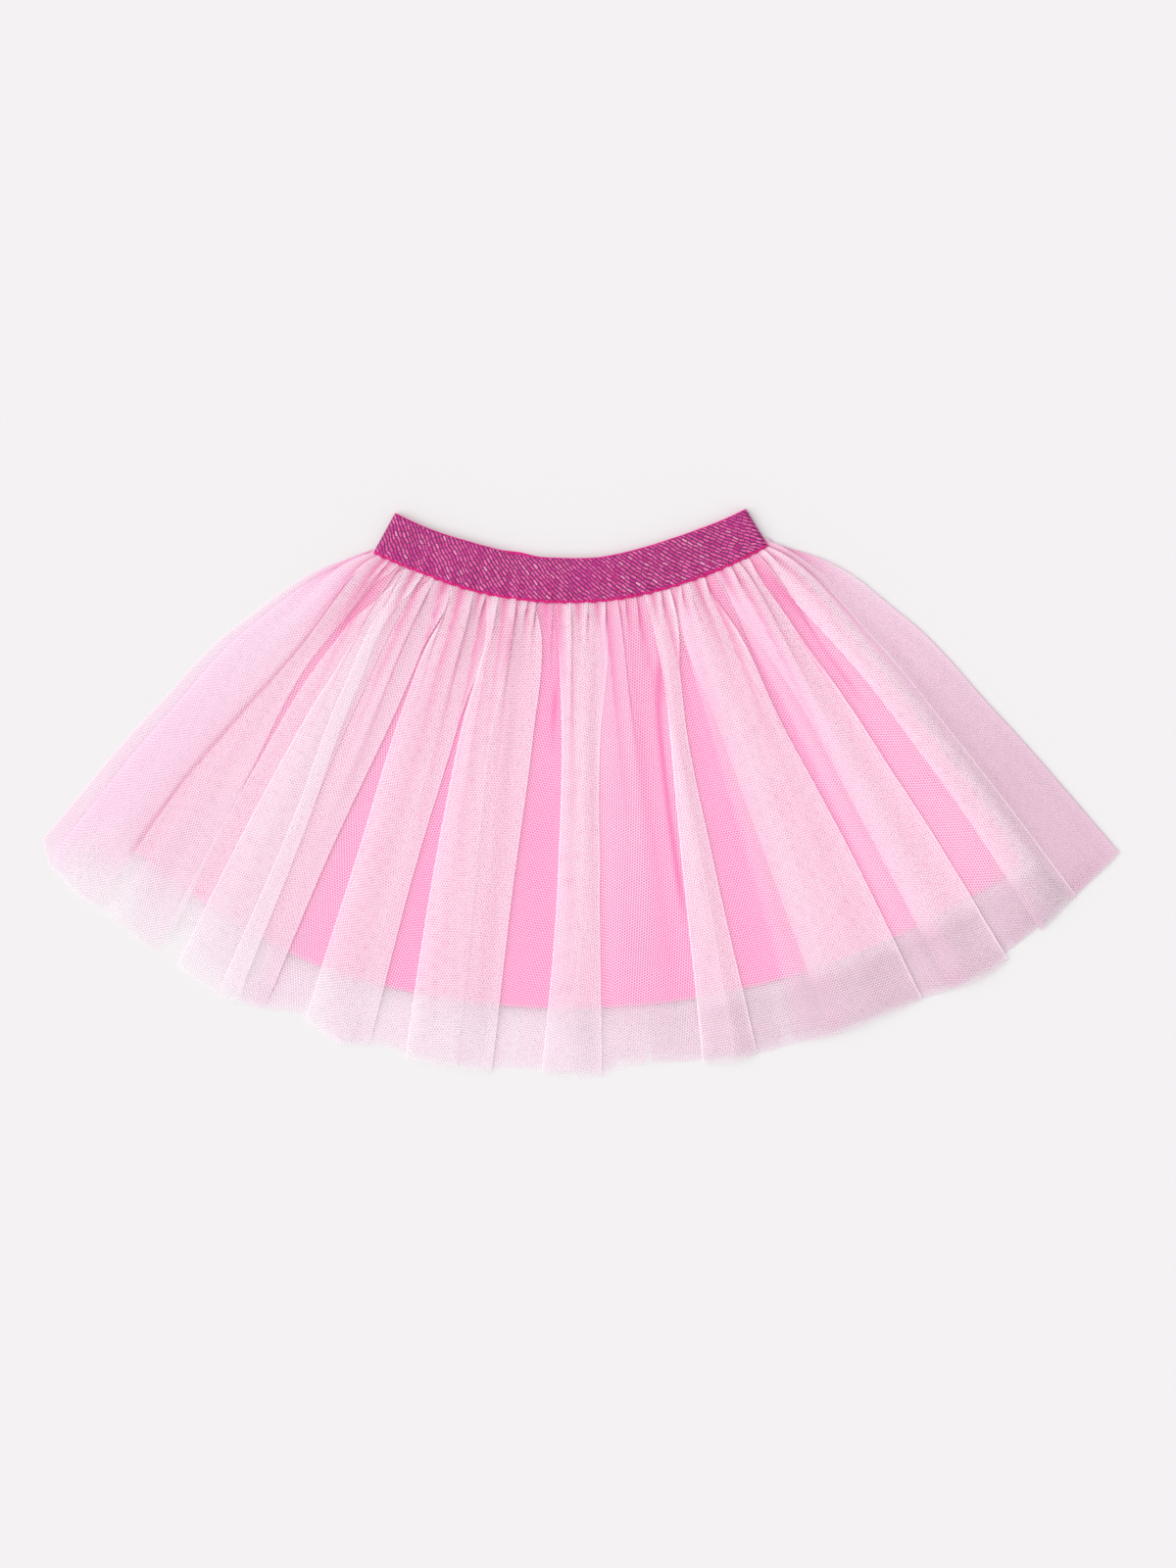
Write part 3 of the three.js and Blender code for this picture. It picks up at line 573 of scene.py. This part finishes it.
def lay_net(name, lines, rows, spacing, finish, inset, front):
    """A gathered panel of net: one sheet, folded over itself and gathered into the band."""
    down = net_rows(rows)
    degrees, lift, stretch, edge = fold_path(lines, down, spacing)
    columns = degrees.shape[1]
    along = np.arange(columns) / columns
    ripple = 1.1 * np.sin(along * 61 + 0.4) + 0.8 * np.sin(along * 143 + 2.0)
    ripple += 0.35 * np.sin(along * 401)
    hem = table(NET_HEM, degrees) - inset + ripple[None, :]
    shorter = np.array((LEFT_SHORTER + 9 * SHORTER)[: stretch.max() + 1])[stretch]
    padded = np.pad(shorter, 5, mode="edge")
    uneven = 1 - 0.85 * smooth(degrees, 12.0, 26.0)
    hem = hem - np.convolve(padded, np.ones(11) / 11, mode="valid") * uneven
    share = (down / SKIRT_LENGTH)[:, None]
    radius = BAND_SEAM - TUCKED_UNDER + share * (hem - BAND_SEAM + TUCKED_UNDER)
    below = radius - BAND_SEAM
    outside = past_lining(degrees, radius)

    shift, puff, groove = gathered(degrees, radius, below, 1.0 if front else 0.12)
    if front:
        ground = NET_GROUND_Z - (NET_GROUND_Z - 1.5) * smooth(outside, -1.0, 16.0)
        to_side = np.minimum(
            across(degrees - curve_through(STATIONS, NET_LEFT, down)[:, None], radius),
            across(curve_through(STATIONS, NET_RIGHT, down)[:, None] - degrees, radius),
        )
        to_rim = np.minimum(to_side, hem - radius + 1.5)
        ground = ground - 1.0 * (1 - smooth(to_rim, 0.0, 12.0))
        puffed = smooth(degrees, 28.0, 35.0) * (1 - smooth(degrees, 34.5, 41.0))
        ground = ground + 3.8 * puffed * smooth(below, 15, 90) * smooth(to_rim, 0, 20)
        ground = ground - 0.9 * (1 - smooth(below, -1.5, 4.0))
        rise = 0.22 + 0.78 * smooth(below, 0, 34)
        bulge = 1.1 * np.exp(-((below / 50.0) ** 2)) * smooth(below, 0, 8)
        seam = curve_through(STATIONS, LINING_LEFT, down)[:, None]
        over_seam = np.exp(-((across(degrees - seam, radius) / 0.9) ** 2)) * smooth(outside, 3, 1)
        z = ground + (lift + bulge) * rise + creased(degrees, radius, below) + puff
        z = z - 1.0 * over_seam * smooth(below, 6, 30)
        z = np.maximum(z, 0.15)
    else:
        z = lift + puff
    places = fan(radius, degrees + shift, z)
    piece = sheet_mesh(name, places, finish)
    mesh = piece.data

    steps = np.linalg.norm(np.diff(places / MM, axis=1), axis=2)
    run = np.concatenate([np.zeros((rows, 1)), np.cumsum(steps, axis=1)], axis=1)
    middle = np.empty((rows, stretch.max() + 1))
    for number in range(stretch.max() + 1):
        own = np.flatnonzero(stretch == number)
        middle[:, number] = (run[:, own[0]] + run[:, min(own[-1] + 1, columns - 1)]) / 2
    row, column, left = corner_cells(mesh, columns)
    own = stretch[left]
    turned = np.radians(own * MESH_TURN + (0 if front else MESH_TURN / 2))
    u = run[row, column] - middle[row, own]
    v = down[row]
    add_uv(mesh, u * np.cos(turned) - v * np.sin(turned), u * np.sin(turned) + v * np.cos(turned))
    normal = np.empty(len(mesh.vertices) * 3)
    mesh.vertices.foreach_get("normal", normal)
    upright = np.abs(normal.reshape(-1, 3)[:, 2])
    steep = np.minimum(1 / np.maximum(upright, 0.05), 4.0).reshape(rows, columns)
    ripples = 0.3
    if front:
        # Slack net outside the lining on the right: its threads crowd and its pink deepens, partly as
        # painted shade
        slack = 0.75 * smooth(degrees, -6.0, 16.0) * smooth(outside, 0.0, 5.0)
        slack = slack * (1 - smooth(degrees, 33.0, 37.0))
        ripples = crowded(degrees, below) + slack + 0.8 * groove
        groove = np.maximum(groove, over_seam * smooth(below, 6, 30) * 0.6)
        groove = np.maximum(groove, deep(degrees, radius, below))
    thin = smooth(-degrees, 22.0, 34.0) * (1 - smooth(hem - radius, 12.0, 45.0))
    thin = thin * smooth(degrees, -39.5, -36.0)
    shaded = smooth(degrees, -4.0, 22.0) * smooth(outside, 1.0, 10.0)
    shaded = shaded * (0.3 + 0.7 * smooth(below, 60.0, 200.0))
    add_measure(mesh, "steep", (steep + ripples) * (1 - 0.5 * thin))
    # Painted shade: the net is a deeper pink in the gathers' grooves and, on the front, over the
    # lining's seam and in the deep creases
    add_measure(mesh, "groove", groove)
    add_measure(mesh, "shaded", shaded)
    add_measure(mesh, "edge", edge)
    add_measure(mesh, "above_hem", hem - radius)
    return piece


def lay_lining(name, low, finish, front):
    """A panel of the satin lining with its turned hem and, at the left, its seam allowance."""
    rows, columns = 70, 190
    down = np.linspace(0, 1, rows) * (LINING_END - BAND_SEAM)
    left = curve_through(STATIONS, LINING_LEFT, down)
    right = curve_through(STATIONS, LINING_RIGHT, down)
    allowance = SEAM_ALLOWANCE * smooth(down, 0, 60)
    left_edge = left - allowance / (BAND_SEAM + down) * 180 / math.pi
    share = np.linspace(0, 1, columns)
    degrees = left_edge[:, None] + (right - left_edge)[:, None] * share[None, :]
    hem = table(LINING_HEM, degrees)
    radius = BAND_SEAM - 2.0 + (down / down[-1])[:, None] * (hem - BAND_SEAM + 2.0)
    from_seam = across(degrees - left[:, None], radius)
    above_hem = hem - radius
    z = low + 0.4 + 0.22 * np.sin(np.radians(degrees) * 36 + 0.6) * np.exp(-down / 70)[:, None]
    z = z + 0.15 * np.sin(np.radians(degrees) * 17 + down[:, None] / 31)
    if front:
        z = z + 0.25 * (1 - smooth(above_hem, 9.0, 10.5))
        z = z - 0.25 * np.exp(-((from_seam / 1.0) ** 2))
        z = z + 0.25 * (1 - smooth(np.abs(from_seam + 4), 3, 4)) * smooth(down, 30, 80)[:, None]
    piece = sheet_mesh(name, fan(radius, degrees, z), finish)
    thicken(piece, LINING_WALL * MM)
    row, column, _ = corner_cells(piece.data, columns)
    add_uv(piece.data, from_seam[row, column], above_hem[row, column])
    return piece


def ring_path(s):
    """The band's ring once round at the places s from 0 to 1, from the middle of its back: the
    angle, the height, 1 on the front half and 0 on the back, and the ring's length."""
    fold = (BAND_FRONT_Z - BAND_BACK_Z) / 2
    mid_radius = (BAND_TOP + BAND_SEAM) / 2
    per_mm = 180 / math.pi / mid_radius
    left, right = BAND_LEFT + fold * per_mm, BAND_RIGHT - fold * per_mm
    half = across(right - left, mid_radius)
    bend = math.pi * fold
    total = 2 * half + 2 * bend
    starts = np.cumsum((half / 2, bend, half, bend))
    run = np.mod(s * total, total)
    part = np.searchsorted(starts, run, side="right")
    place = run - np.concatenate(([0.0], starts))[part]
    turn = place / fold
    parts = [part == number for number in range(5)]
    angle = np.select(parts, (
        (left + right) / 2 - place * per_mm,
        left - np.sin(turn) * fold * per_mm,
        left + place * per_mm,
        right + np.sin(turn) * fold * per_mm,
        right - place * per_mm,
    ))
    facing = np.select(parts, (
        np.zeros_like(run),
        (1 - np.cos(turn)) / 2,
        np.ones_like(run),
        (1 + np.cos(turn)) / 2,
        np.zeros_like(run),
    ))
    height = BAND_BACK_Z + (BAND_FRONT_Z - BAND_BACK_Z) * facing
    return angle, height, facing, total


def lower_edge(angle, facing):
    """The band's lower edge, which gives way a little to every gather."""
    wave = np.sin(np.radians(angle) * 262) + 0.7 * np.sin(np.radians(angle) * 171 + 1.1)
    stray = table(LOWER_STRAY, angle)
    return BAND_SEAM + stray + 0.28 * wave * facing


def upper_edge(angle, facing):
    """The band's upper edge, over which the back half shows a little at one place."""
    peek = 1.3 * np.exp(-(((angle + 7.2) / 2.6) ** 2)) * (1 - facing)
    return BAND_TOP + table(UPPER_STRAY, angle) - peek


def waistband(finish):
    """The glitter elastic, one ring pressed flat."""
    rows, columns = 17, 461
    s = np.linspace(0, 1, columns)
    angle, height, facing, total = ring_path(s)
    v = np.linspace(0, 1, rows)[:, None]
    low = lower_edge(angle, facing)[None, :]
    high = upper_edge(angle, facing)[None, :]
    radius = high + (low - high) * v
    ripple = np.sin(np.radians(angle) * 150 + 0.5) + 0.8 * np.sin(np.radians(angle) * 97)
    z = height[None, :] + 0.16 * ripple[None, :] * facing[None, :] * v * v
    z = z + 0.3 * facing[None, :] * smooth(v, 0.6, 1.0)
    places = fan(radius, np.broadcast_to(angle[None, :], radius.shape), z)
    piece = sheet_mesh("glitter_waistband", places, finish)
    add_measure(piece.data, "front", np.broadcast_to(facing[None, :], radius.shape))
    row, column, _ = corner_cells(piece.data, columns)
    add_uv(piece.data, s[column] * total, v[row, 0] * BAND_WIDTH)
    shape = bmesh.new()
    shape.from_mesh(piece.data)
    bmesh.ops.remove_doubles(shape, verts=shape.verts, dist=1e-6)
    bmesh.ops.recalc_face_normals(shape, faces=shape.faces)
    shape.to_mesh(piece.data)
    shape.free()
    thicken(piece, BAND_WALL * MM)
    return piece


def sewn(name, stitches, finish):
    """Short stitches of thread joined to one piece. Each stitch has its middle and its ends'
    direction as a length vector, in millimetres, and its thickness."""
    shape = bmesh.new()
    bmesh.ops.create_uvsphere(shape, u_segments=6, v_segments=5, radius=0.5)
    single = bpy.data.meshes.new(name + "_single")
    shape.to_mesh(single)
    shape.free()
    shape = bmesh.new()
    for middle, length, thickness in stitches:
        length = Vector(length)
        turn = length.to_track_quat("Z", "Y").to_matrix().to_4x4()
        size = Matrix.Diagonal((thickness, thickness, length.length, 1.0))
        place = Matrix.Scale(MM, 4) @ Matrix.Translation(middle) @ turn @ size
        before = len(shape.verts)
        shape.from_mesh(single)
        shape.verts.ensure_lookup_table()
        bmesh.ops.transform(shape, matrix=place, verts=shape.verts[before:])
    mesh = bpy.data.meshes.new(name)
    shape.to_mesh(mesh)
    shape.free()
    bpy.data.meshes.remove(single)
    mesh.polygons.foreach_set("use_smooth", np.ones(len(mesh.polygons), bool))
    mesh.materials.append(finish)
    piece = bpy.data.objects.new(name, mesh)
    bpy.context.scene.collection.objects.link(piece)
    return piece


def fan_stitch(radius, degrees, height, outwards, sideways, up, thickness):
    """A stitch at a place on the fan, with its length given along the fan's own directions."""
    middle = fan(radius, degrees, height) / MM
    angle = math.radians(degrees)
    out = np.array((math.sin(angle), -math.cos(angle), 0.0))
    side = np.array((math.cos(angle), math.sin(angle), 0.0))
    length = out * outwards + side * sideways + np.array((0.0, 0.0, up))
    return tuple(middle), tuple(length), thickness


def overlock(finish):
    """The hot pink overlock thread along the band's lower edge, front and back."""
    count = 310
    angle, height, facing, _ = ring_path((np.arange(count) + 0.5) / count)
    stitches = []
    for number in range(count):
        edge = float(lower_edge(angle[number], facing[number]))
        face = float(facing[number])
        top = float(height[number]) + 0.62 * (2 * face - 1) + 0.3 * face
        top = max(top, 0.32)
        tilt = 0.75 + 0.25 * math.sin(number * 2.4)
        stitches.append(fan_stitch(edge - 0.45, angle[number], top, 1.7, tilt, -0.25 * face, 0.62))
        rope = float(height[number]) + 0.3 * face
        side = 1.9 if 0.02 < face < 0.98 else 1.75
        slope = 0.3 * math.sin(number * 1.7)
        stitches.append(fan_stitch(edge + 0.35, angle[number], rope, 0.2, side, slope, 0.75))
    return sewn("overlock_thread", stitches, finish)


def cross_rows(finish):
    """Two short rows of stitches across the band's front half, where its lining seams end."""
    stitches = []
    for degrees, lean, begins in ((-1.62, 0.25, 10.5), (8.75, 0.9, 9.0)):
        place = BAND_TOP + begins
        number = 0
        while place < BAND_SEAM - 0.8:
            share = (place - BAND_TOP - begins) / (BAND_WIDTH - begins)
            at = degrees + lean * (1 - share) * -1 + 0.07 * math.sin(number * 2.1)
            across_band = float(smooth((place - BAND_TOP) / BAND_WIDTH, 0.6, 1.0))
            height = BAND_FRONT_Z + 0.85 + 0.3 * across_band
            slant = 0.22 * (-1) ** number
            stitches.append(fan_stitch(place, at, height, 1.35, slant, 0.0, 0.65))
            place += 1.5
            number += 1
    return sewn("cross_stitches", stitches, finish)


# Shader maths

class Field:
    """A socket that takes Python's operators."""

    def __init__(self, finish, socket):
        self.finish = finish
        self.socket = socket

    def _do(self, operation, *others):
        return self.finish.maths(operation, self, *others)

    def __add__(self, other):
        return self._do("ADD", other)

    def __radd__(self, other):
        return self._do("ADD", other)

    def __sub__(self, other):
        return self._do("SUBTRACT", other)

    def __rsub__(self, other):
        return self.finish.maths("SUBTRACT", other, self)

    def __mul__(self, other):
        return self._do("MULTIPLY", other)

    def __rmul__(self, other):
        return self._do("MULTIPLY", other)

    def __truediv__(self, other):
        return self._do("DIVIDE", other)

    def __rtruediv__(self, other):
        return self.finish.maths("DIVIDE", other, self)

    def __gt__(self, other):
        return self._do("GREATER_THAN", other)

    def __lt__(self, other):
        return self._do("LESS_THAN", other)

    def __abs__(self):
        return self._do("ABSOLUTE")

    def floor(self):
        return self._do("FLOOR")

    def part(self):
        """The part after the decimal point."""
        return self._do("FRACT")

    def most(self, other):
        return self._do("MAXIMUM", other)

    def least(self, other):
        return self._do("MINIMUM", other)

    def step(self, low, high):
        """0 below low, 1 above high, smooth between."""
        settings = {"interpolation_type": "SMOOTHSTEP"}
        values = {"Value": self, "From Min": low, "From Max": high}
        return self.finish.node("ShaderNodeMapRange", settings, values, "Result")


class Finish:
    """A node material with its Principled shader."""

    def __init__(self, name, **constants):
        self.material = bpy.data.materials.new(name)
        self.material.use_nodes = True
        self.tree = self.material.node_tree
        self.shader = self.tree.nodes["Principled BSDF"]
        for socket, value in constants.items():
            self.shader.inputs[socket.replace("_", " ")].default_value = value

    def node(self, kind, settings, values, output=0):
        made = self.tree.nodes.new(kind)
        for key, value in settings.items():
            setattr(made, key, value)
        for key, value in values.items():
            self.feed(made.inputs[key], value)
        return Field(self, made.outputs[output])

    def feed(self, socket, value):
        if isinstance(value, Field):
            self.tree.links.new(value.socket, socket)
        else:
            socket.default_value = value

    def maths(self, operation, *values):
        return self.node("ShaderNodeMath", {"operation": operation}, dict(enumerate(values)))

    def set(self, socket, value):
        self.feed(self.shader.inputs[socket], value)

    def mix(self, share, first, second):
        """A colour between two, by share."""
        settings = {"data_type": "RGBA"}
        values = {0: share, 6: first, 7: second}
        return self.node("ShaderNodeMix", settings, values, 2)

    def attribute(self, name):
        return self.node("ShaderNodeAttribute", {"attribute_name": name}, {}, "Fac")

    def cloth(self):
        """The cloth's own two measures, across and down, in millimetres."""
        uv = self.node("ShaderNodeUVMap", {"uv_map": "cloth"}, {})
        apart = self.node("ShaderNodeSeparateXYZ", {}, {0: uv})
        outputs = apart.socket.node.outputs
        return uv, Field(self, outputs[0]), Field(self, outputs[1])

    def noise(self, vector, scale, detail=2.0, roughness=0.5):
        values = {"Vector": vector, "Scale": scale, "Detail": detail, "Roughness": roughness}
        return self.node("ShaderNodeTexNoise", {}, values, "Fac")

    def dice(self, first, second):
        """A number from 0 to 1 that differs for every pair of whole numbers."""
        place = self.node("ShaderNodeCombineXYZ", {}, {0: first, 1: second})
        settings = {"noise_dimensions": "2D"}
        return self.node("ShaderNodeTexWhiteNoise", settings, {"Vector": place}, "Value")

    def open_mesh(self, thread, colour, glow):
        """Makes the surface an open mesh: holes where thread is 0, and threads that let the
        share glow of the light through."""
        through = self.node("ShaderNodeBsdfTranslucent", {}, {"Color": colour})
        hole = self.node("ShaderNodeBsdfTransparent", {}, {})
        solid = Field(self, self.shader.outputs[0])
        lit = self.node("ShaderNodeMixShader", {}, {0: glow, 1: solid, 2: through})
        mesh = self.node("ShaderNodeMixShader", {}, {0: thread, 1: hole, 2: lit})
        output = self.tree.nodes["Material Output"]
        self.tree.links.new(mesh.socket, output.inputs["Surface"])

    def bump(self, height, strength, distance):
        values = {"Height": height, "Strength": strength, "Distance": distance}
        self.set("Normal", self.node("ShaderNodeBump", {}, values))


def net_finish():
    """Soft pink net: threads round six-sided holes, crowded where the cloth stands steeply and
    beside a fold's edge."""
    finish = Finish("pink_net", Roughness=0.6, Specular_IOR_Level=0.3)
    finish.shader.inputs["Sheen Weight"].default_value = 0.2
    finish.shader.inputs["Sheen Roughness"].default_value = 0.5
    uv, u, v = finish.cloth()
    u = u / NET_CELL
    v = v / NET_CELL
    tall = math.sqrt(3)
    ax = u.part() - 0.5
    ay = ((v / tall).part() - 0.5) * tall
    bx = (u + 0.5).part() - 0.5
    by = ((v / tall + 0.5).part() - 0.5) * tall
    nearer = (ax * ax + ay * ay) < (bx * bx + by * by)
    gx = abs(bx + (ax - bx) * nearer)
    gy = abs(by + (ay - by) * nearer)
    hexagon = (gx * 0.5 + gy * (tall / 2)).most(gx)
    steep = finish.attribute("steep")
    edge = finish.attribute("edge")
    beside = (1.0 - edge / 1.1).most(0.0) * 0.9
    second = (1.0 - abs(edge - 2.8) / 0.55).most(0.0) * 0.45
    third = (1.0 - abs(edge - 4.9) / 0.55).most(0.0) * 0.3
    crowd = steep + beside + second + third
    crowd = crowd * (0.4 + 0.6 * finish.attribute("above_hem").step(-2.0, 14.0))
    thread = hexagon > (0.5 - crowd * (NET_THREAD / 2))
    veil = crowd * NET_VEIL
    thread = (thread + veil).least(1.0)
    # Random tone, and a deeper pink where the cloth stands steeply or its threads crowd, away from
    # fold edges: partly the crowded threads' colour, partly painted shade
    shade = finish.noise(uv, 0.02, 2.0) * 0.25 + (steep - 1.0) * edge.step(0.2, 1.6) * 0.34
    pink = finish.mix(shade.least(1.0), NET_PALE, NET_DEEP)
    # Painted shade: a deeper pink in grooves and creases
    pink = finish.mix(finish.attribute("groove") * 0.8, pink, NET_GROOVE_SHADE)
    shaded = finish.attribute("shaded") * edge.step(0.2, 2.5)
    pink = finish.mix(shaded * 0.45, pink, NET_SHADED)
    finish.set("Base Color", pink)
    finish.open_mesh(thread, pink, THREAD_GLOW)
    return finish.material


def satin_finish():
    """Saturated pink satin-faced knit: fine ribs, a stitched hem and painted shade along the seam."""
    finish = Finish("pink_satin", Roughness=0.42, Specular_IOR_Level=0.4)
    finish.shader.inputs["Sheen Weight"].default_value = 0.25
    finish.shader.inputs["Sheen Roughness"].default_value = 0.4
    uv, u, v = finish.cloth()
    shade = finish.noise(uv, 0.03, 3.0)
    pink = finish.mix(shade, LINING_PINK, LINING_PALE)
    # Painted shade: a dark line along the seam; the corner where seam allowance and hem lie on each
    # other is darker too
    seam = 1.0 - (abs(u) / 0.9).least(1.0)
    corner = (u < 0.0) * (v < 11.0)
    pink = finish.mix((seam + corner * 0.5).least(1.0), pink, LINING_DARK)
    hem_edge = 1.0 - (abs(v - 0.9) / 0.9).least(1.0)
    pink = finish.mix(hem_edge * 0.25, pink, NET_PALE)
    stitched = (1.0 - (abs(v - HEM_STITCHES) / 0.45).least(1.0)) * ((u / 2.4).part() > 0.25)
    pink = finish.mix(stitched * 0.2, pink, LINING_DARK)
    finish.set("Base Color", pink)
    ribs = abs((u / 0.9).part() - 0.5) - stitched * 0.5 - seam
    finish.bump(ribs, 0.25, 0.0002)
    return finish.material


def glitter_finish():
    """Magenta elastic with short metallic threads lying aslant, light and dark by turns."""
    finish = Finish("glitter_elastic", Roughness=0.38, Specular_IOR_Level=0.35)
    uv, u, v = finish.cloth()
    wander = finish.noise(uv, 0.13, 1.0) * 2.2
    slant = u * 0.71 + v * 0.71
    steep = (v * 0.71 - u * 0.71 + wander) / GLITTER_ROW
    row = steep.floor()
    along = slant / GLITTER_DASH + finish.dice(row * 1.31, 3.7)
    dash = along.floor()
    pick = finish.dice(dash, row)
    second = finish.dice(dash + 41.3, row)
    rounded = 1.0 - abs(steep.part() - 0.5) * 2.0
    ends = 1.0 - abs(along.part() - 0.5) * 2.0
    raised = rounded.step(0.35, 0.65) * ends.step(0.04, 0.24)
    thread = finish.mix(pick, GLITTER_MID, GLITTER_LIGHT)
    # A painted glint on a few threads
    thread = finish.mix((second > 0.95) * 0.4, thread, GLITTER_SPARK)
    base = finish.mix(raised, GLITTER_DARK, thread)
    patches = finish.noise(uv, 0.035, 2.0).step(0.4, 0.62)
    base = finish.mix(patches * 0.1, base, GLITTER_MID)
    border = 1.0 - (v.least(BAND_WIDTH - v) / (1.6 - finish.attribute("front"))).least(1.0)
    base = finish.mix((border * 1.6).least(0.9), base, HOT_PINK)
    finish.set("Base Color", base)
    finish.set("Metallic", raised * 0.35)
    finish.bump(rounded + pick * 0.4, 0.4, 0.0003)
    return finish.material


def thread_finish():
    """Hot pink sewing thread, with its twist."""
    finish = Finish("hot_pink_thread", Roughness=0.55, Specular_IOR_Level=0.35)
    place = finish.node("ShaderNodeTexCoord", {}, {}, "Object")
    shade = finish.noise(place, 900.0, 2.0)
    finish.set("Base Color", finish.mix(shade, HOT_PINK, HOT_PINK_DEEP))
    finish.bump(shade, 0.3, 0.0001)
    return finish.material


studio()
pink_net = net_finish()
pink_satin = satin_finish()
hot_pink = thread_finish()

front_net = lay_net(
    "front_net", FRONT_LINES, rows=72, spacing=0.72, finish=pink_net, inset=0.0, front=True
)
back_net = lay_net(
    "back_net", BACK_LINES, rows=60, spacing=0.9, finish=pink_net, inset=2.5, front=False
)
front_lining = lay_lining("front_lining", FRONT_LINING_Z, pink_satin, True)
back_lining = lay_lining("back_lining", BACK_LINING_Z, pink_satin, False)
band = waistband(glitter_finish())
edging = overlock(hot_pink)
rows_across = cross_rows(hot_pink)

PIECES = (
    (front_net, "tulle_front", "net"),
    (back_net, "tulle_back", "net"),
    (front_lining, "lining_front", "satin_lining"),
    (back_lining, "lining_back", "satin_lining"),
    (band, "waistband", "glitter_elastic"),
    (edging, None, "glitter_elastic"),
    (rows_across, None, "glitter_elastic"),
)
for piece, node, slot in PIECES:
    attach(piece, "root")
    if node:
        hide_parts(node)
